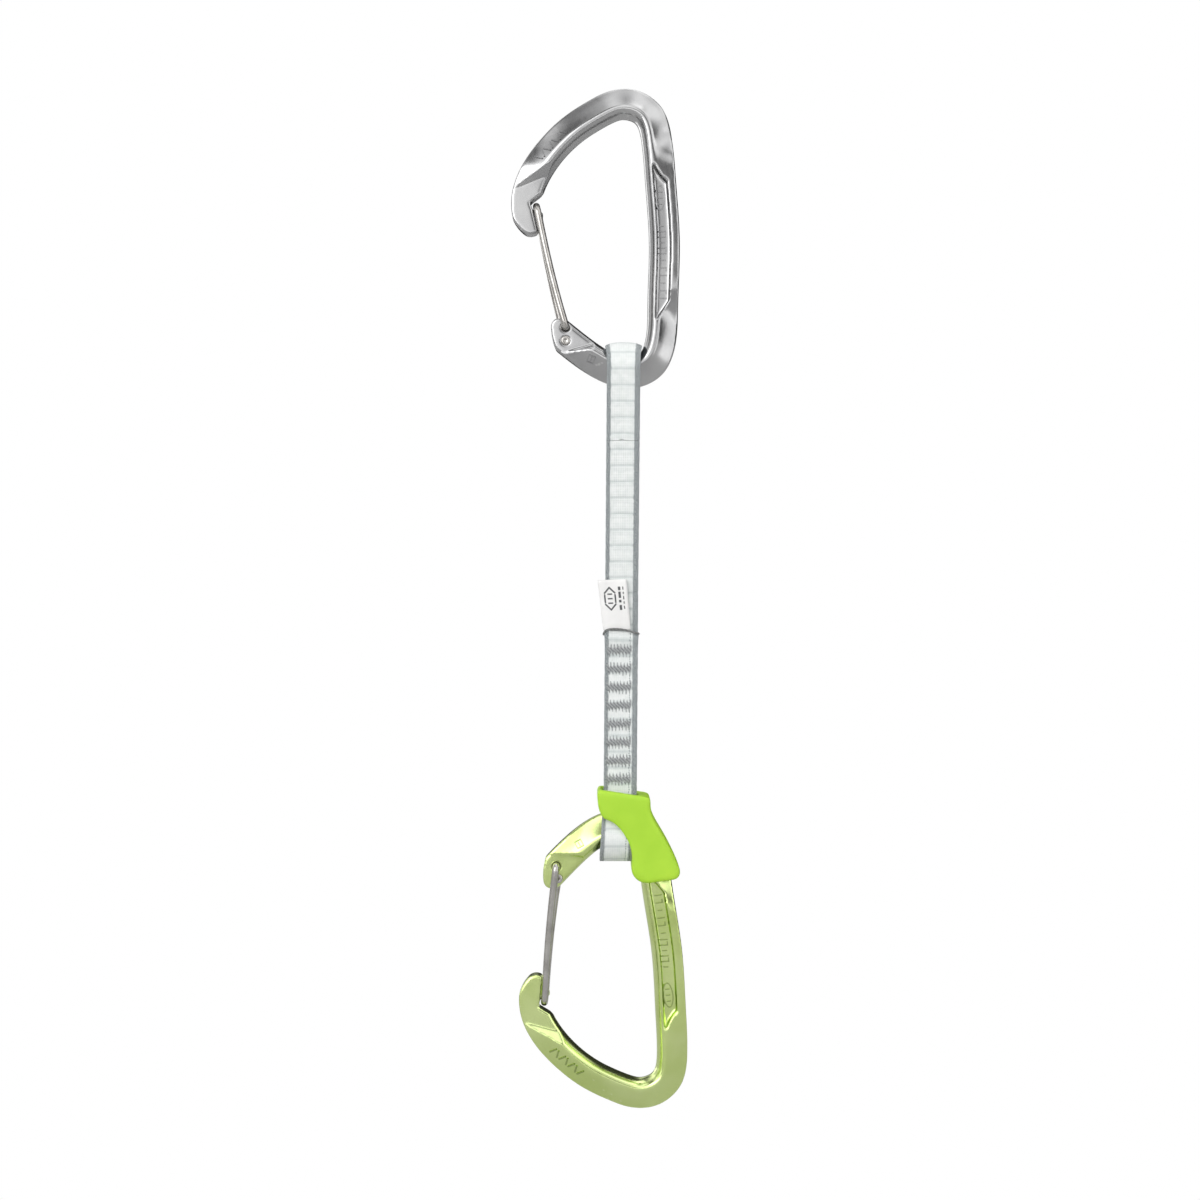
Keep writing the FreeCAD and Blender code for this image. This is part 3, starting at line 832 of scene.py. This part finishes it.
work = bmesh.new()
for i in range(6):
    angle = math.pi / 3 * i
    print_bar(
        work, -1.2 + 1.75 * math.cos(angle), 2.1 + 3.2 * math.sin(angle), 0.5, 2.9,
        math.atan2(-1.75 * math.sin(angle), 3.2 * math.cos(angle)),
    )
for i in range(3):
    print_bar(work, -1.2, 0.6 + 1.5 * i, 1.6, 0.45)
for i, tall in enumerate((1.5, 0.8, 1.9, 1.1)):
    print_bar(work, 2.1, -0.9 + 2.1 * i, 0.8, tall * 1.1)
for i, tall in enumerate((0.9, 0.7, 1.0, 0.6, 0.9)):
    print_bar(work, 3.35, -0.9 + 1.6 * i, 0.34, tall * 1.1)
mesh = bpy.data.meshes.new("label_print")
work.to_mesh(mesh)
work.free()
printed = new_piece("label_print", mesh)
ink = Finish("label ink")
ink_tone = ink.shades(
    ink.noise(ink.place(), 1500.0), [(0.35, (0.05, 0.052, 0.055)), (0.7, (0.13, 0.135, 0.14))]
)
printed.data.materials.append(ink.set(Base_Color=ink_tone, Roughness=0.7))
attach(printed, "sling_lower")

seam_y = LAP_FRONT - 0.1 * MM
seam_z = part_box("label_seam")[1].z
seam_points = [
    (-5.9, 1.5, -1.6), (-6.0, 0.1, -1.3), (-5.4, -0.25, -0.35), (-4.2, -0.3, 0.15), (-2.2, -0.35, 0.35),
    (0.4, -0.35, 0.1), (3.0, -0.25, -0.55), (4.9, -0.2, -1.05), (5.6, 0.3, -1.2), (5.7, 2.0, -1.4),
]
curve = bpy.data.curves.new("label_thread", "CURVE")
curve.dimensions = "3D"
curve.bevel_depth = 0.36 * MM
curve.bevel_resolution = 3
curve.use_fill_caps = True
spline = curve.splines.new("NURBS")
spline.points.add(len(seam_points) - 1)
for point, (x, y, z) in zip(spline.points, seam_points):
    point.co = (sling_x(seam_z) + x * MM, seam_y + y * MM, seam_z + z * MM, 1.0)
spline.order_u = 3
spline.use_endpoint_u = True
spline.resolution_u = 6
thread = settle_curve("label_thread", curve)
thread.data.materials.append(sewing_thread("dark thread", (0.10, 0.105, 0.105), (0.24, 0.245, 0.24)))
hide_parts("label_seam")
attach(thread, "sling_lower")

# ---------------------------------------------------------------- rubber keeper
# Injection-moulded rubber, bright lime.  It is stretched over the lower loop and
# the corner of the carabiner so that the carabiner cannot turn in the webbing.
keeper = softened_copy("rubber_keeper", "moulded_keeper", 0.36 * MM, 30)
lime = Finish("lime rubber")
haze = lime.noise(lime.place(), 90.0, 4.0)
pores = lime.noise(lime.place(), 2200.0, 2.0)
keeper.data.materials.append(
    lime.set(
        Base_Color=lime.shades(haze, [(0.3, (0.36, 0.64, 0.022)), (0.7, (0.43, 0.71, 0.035))]),
        Roughness=lime.node("MapRange", {"To Min": 0.42, "To Max": 0.58}, Value=haze).outputs[0],
        Normal=lime.bump(pores, 0.2, 0.00006),
        Subsurface_Weight=0.12, Subsurface_Radius=(0.003, 0.004, 0.001),
    )
)
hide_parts("rubber_keeper")
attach(keeper, "lower_carabiner")

# ---------------------------------------------------------------- studio
# A pale floor under the hanging quickdraw, wide soft lights and a long lens.
work = bmesh.new()
bmesh.ops.create_grid(work, x_segments=1, y_segments=1, size=4.0)
for vert in work.verts:
    vert.co.z = cad_box[0].z - 0.04
mesh = bpy.data.meshes.new("floor")
work.to_mesh(mesh)
work.free()
floor = new_piece("floor", mesh)
pale = Finish("pale floor")
pale.set(Base_Color=(0.56, 0.56, 0.56, 1.0), Roughness=0.9)
glow = pale.node("Emission", {"Color": (1.0, 1.0, 1.0, 1.0), "Strength": 1.0})
choose = pale.node("MixShader", Fac=pale.node("LightPath").outputs["Is Camera Ray"])
pale.join(pale.shader.outputs["BSDF"], choose.inputs[1])
pale.join(glow.outputs["Emission"], choose.inputs[2])
pale.join(choose.outputs["Shader"], pale.tree.nodes["Material Output"].inputs["Surface"])
floor.data.materials.append(pale.material)

world = bpy.data.worlds.new("studio")
bpy.context.scene.world = world
world.use_nodes = True
room = Finish.__new__(Finish)
room.tree = world.node_tree
facing = room.node("TexCoord").outputs["Generated"]
shifted = room.node("Mapping", {"Location": (0.35, 0.2, 0.6)}, Vector=facing).outputs["Vector"]
panels = room.noise(shifted, 1.9, 0.0)
key_side = room.node("VectorMath", {"operation": "DOT_PRODUCT"})
room.join(facing, key_side.inputs[0])
key_side.inputs[1].default_value = (-0.35, -0.75, 0.55)
toward_key = room.math("MULTIPLY", key_side.outputs["Value"], 0.30)
level = room.math("ADD", toward_key, room.math("MULTIPLY_ADD", panels, 1.5, -0.40))
soft = room.shades(level, [(0.12, 0.03), (0.34, 0.20), (0.47, 0.85), (0.70, 1.6)])
clear = room.blend(room.node("LightPath").outputs["Is Camera Ray"], soft, (1.0, 1.0, 1.0))
room.join(clear, room.tree.nodes["Background"].inputs["Color"])


def softbox(name, at, aim, wide, tall, power):
    light = bpy.data.lights.new(name, "AREA")
    light.shape = "RECTANGLE"
    light.size = wide
    light.size_y = tall
    light.energy = power
    lamp = bpy.data.objects.new(name, light)
    lamp.location = at
    lamp.rotation_euler = (Vector(aim) - Vector(at)).to_track_quat("-Z", "Y").to_euler()
    bpy.context.scene.collection.objects.link(lamp)


middle = (0, 0, -0.16)
softbox("key", (-0.55, -0.85, 0.25), middle, 0.5, 0.9, 3.0)
softbox("fill", (0.95, -0.55, -0.05), middle, 0.3, 1.0, 1.3)
softbox("top", (0.1, 0.25, 0.75), middle, 0.9, 0.5, 1.6)
softbox("back", (-0.6, 0.8, -0.1), middle, 0.4, 0.9, 1.2)

camera_data = bpy.data.cameras.new("camera")
camera_data.sensor_width = 36
camera_data.lens = 63
camera = bpy.data.objects.new("camera", camera_data)
camera.location = (-0.0073, -0.70, -0.1603)
camera.rotation_euler = (math.pi / 2, 0, 0)
bpy.context.scene.collection.objects.link(camera)
bpy.context.scene.camera = camera
bpy.context.scene.view_settings.view_transform = "Standard"
